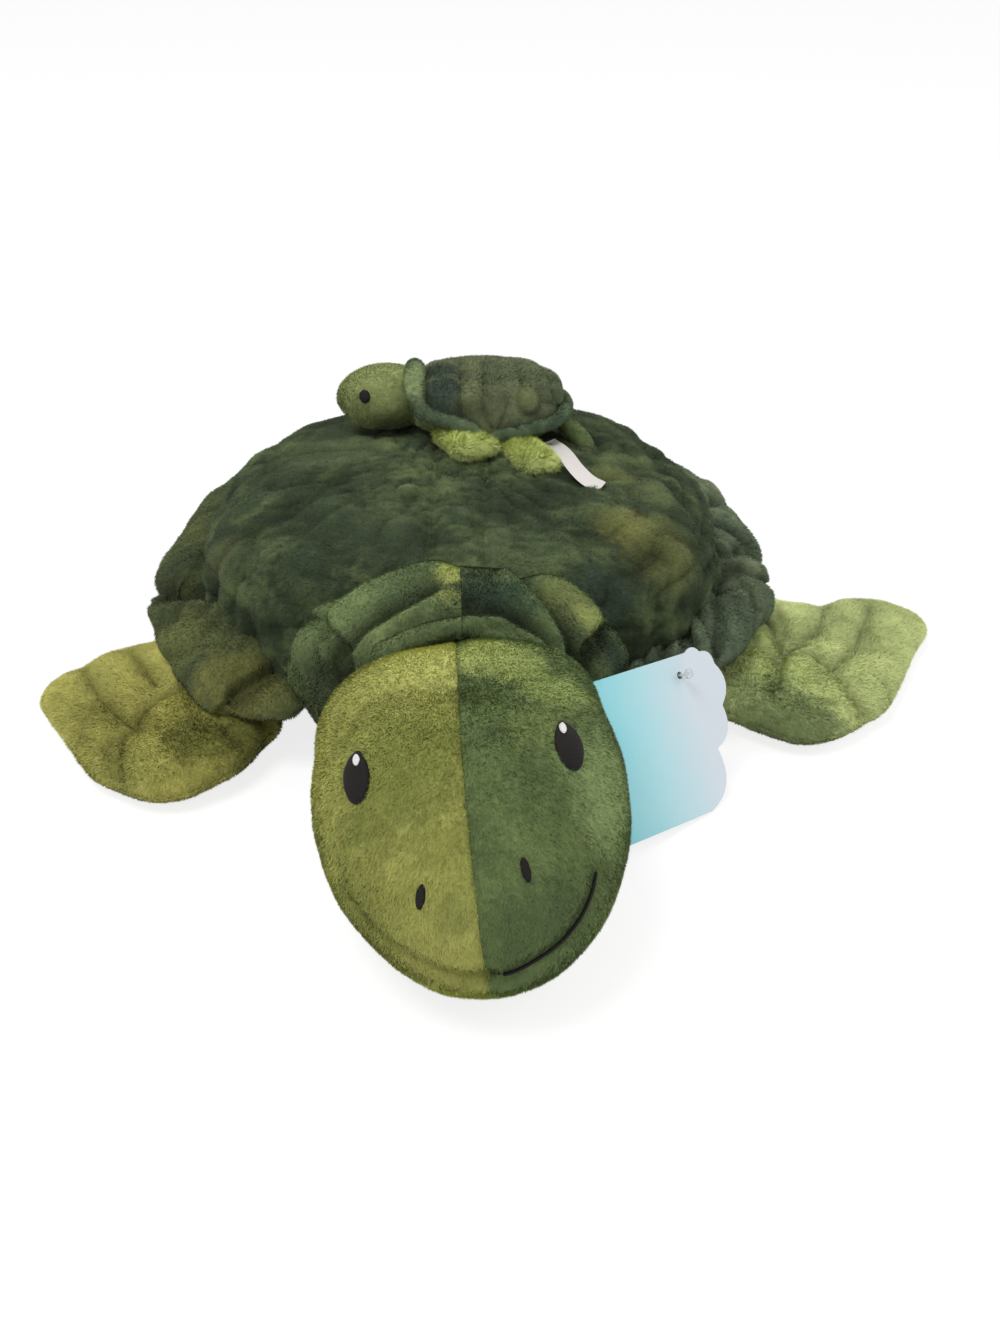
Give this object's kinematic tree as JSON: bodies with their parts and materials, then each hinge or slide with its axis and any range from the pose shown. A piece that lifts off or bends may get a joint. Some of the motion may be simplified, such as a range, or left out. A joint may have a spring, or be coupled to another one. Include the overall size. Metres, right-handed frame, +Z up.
{
  "type": "plush turtle",
  "caption": "Soft stuffed sea turtle lying on its belly, with flippers, a turning head and a small plush turtle on its shell.",
  "frame": {"origin": "on the floor under the middle of the shell, at the belly's flat resting face", "axes": "+Z up, the turtle faces -Y, +X is the turtle's left side"},
  "size_m": [0.4959, 0.5799, 0.152],
  "materials": {
    "dark_plush": "short-pile plush, mottled dark green",
    "rim_plush": "short-pile plush, mottled green",
    "head_plush": "short-pile plush, olive green",
    "flipper_plush": "short-pile plush, light olive green",
    "belly_plush": "short-pile plush, pale green",
    "baby_plush": "fluffy plush, yellow green",
    "baby_shell_plush": "short-pile plush, dark green, quilted",
    "stuffing": "white polyester fibre",
    "black_thread": "satin embroidery thread",
    "white_thread": "satin embroidery thread",
    "satin_ribbon": "woven satin ribbon, no print",
    "tag_card": "coated card, plain turquoise to pale lilac shading",
    "clear_plastic": "clear nylon tie"
  },
  "bodies": {
    "root": {"shell_panel_left": "dark_plush", "shell_panel_right": "dark_plush", "shell_centre_strip": "dark_plush", "belly_panel": "belly_plush", "body_filling": "stuffing", "ruff_left": "rim_plush", "ruff_right": "rim_plush", "neck_filling": "stuffing", "rim_left": "rim_plush", "rim_right": "rim_plush", "tail": "flipper_plush", "tag_tie": "clear_plastic"},
    "neck": {"neck_ball": "stuffing"},
    "head": {"head_panel_left": "head_plush", "head_panel_right": "head_plush", "chin_panel": "head_plush", "head_filling": "stuffing", "eye_left": "black_thread", "eye_glint_left": "white_thread", "nostril_left": "black_thread", "eye_right": "black_thread", "eye_glint_right": "white_thread", "nostril_right": "black_thread", "mouth_stitching": "black_thread"},
    "front_flipper_left": {"front_flipper_left_top_panel": "flipper_plush", "front_flipper_left_under_panel": "flipper_plush", "front_flipper_left_filling": "stuffing"},
    "front_flipper_right": {"front_flipper_right_top_panel": "flipper_plush", "front_flipper_right_under_panel": "flipper_plush", "front_flipper_right_filling": "stuffing"},
    "rear_flipper_left": {"rear_flipper_left_top_panel": "flipper_plush", "rear_flipper_left_under_panel": "flipper_plush", "rear_flipper_left_filling": "stuffing"},
    "rear_flipper_right": {"rear_flipper_right_top_panel": "flipper_plush", "rear_flipper_right_under_panel": "flipper_plush", "rear_flipper_right_filling": "stuffing"},
    "baby": {"baby_shell": "baby_shell_plush", "baby_belly": "baby_plush", "baby_rim": "baby_shell_plush", "baby_head": "baby_plush", "baby_eye_left": "black_thread", "baby_eye_right": "black_thread", "baby_front_flipper_left": "baby_plush", "baby_front_flipper_right": "baby_plush", "baby_rear_flipper_left": "baby_plush", "baby_rear_flipper_right": "baby_plush", "baby_tail": "baby_plush", "care_label": "satin_ribbon"},
    "tag": {"hang_tag": "tag_card"}
  },
  "joints": [
    {"name": "neck_turn", "type": "hinge", "parent": "root", "child": "neck", "pos_m": [0.004, -0.196, 0.066], "axis": [0, 0, 1], "range_deg": [-8, 8], "stiffness_Nm_per_rad": 1},
    {"name": "head_nod", "type": "hinge", "parent": "neck", "child": "head", "pos_m": [0.004, -0.196, 0.066], "axis": [-1, 0, 0], "range_deg": [-5, 8], "stiffness_Nm_per_rad": 3},
    {"name": "front_flipper_left_flap", "type": "hinge", "parent": "root", "child": "front_flipper_left", "pos_m": [0.16, -0.048, 0.016], "axis": [-0.2857, -0.9583, 0], "range_deg": [-8, 25], "stiffness_Nm_per_rad": 0.5},
    {"name": "front_flipper_right_flap", "type": "hinge", "parent": "root", "child": "front_flipper_right", "pos_m": [-0.138, -0.095, 0.016], "axis": [-0.6157, 0.788, 0], "range_deg": [-8, 25], "stiffness_Nm_per_rad": 0.5},
    {"name": "rear_flipper_left_flap", "type": "hinge", "parent": "root", "child": "rear_flipper_left", "pos_m": [0.098, 0.156, 0.0145], "axis": [0.866, -0.5, 0], "range_deg": [-8, 25], "stiffness_Nm_per_rad": 0.5},
    {"name": "rear_flipper_right_flap", "type": "hinge", "parent": "root", "child": "rear_flipper_right", "pos_m": [-0.098, 0.156, 0.0145], "axis": [0.866, 0.5, 0], "range_deg": [-8, 25], "stiffness_Nm_per_rad": 0.5},
    {"name": "baby_lift", "type": "slide", "parent": "root", "child": "baby", "axis": [0, 0, 1], "range_m": [0, 0.12]},
    {"name": "tag_swing", "type": "hinge", "parent": "root", "child": "tag", "pos_m": [0.10876, -0.14738, 0.06829], "axis": [-0.7429, -0.657, 0.1283], "range_deg": [0, 18]}
  ]
}
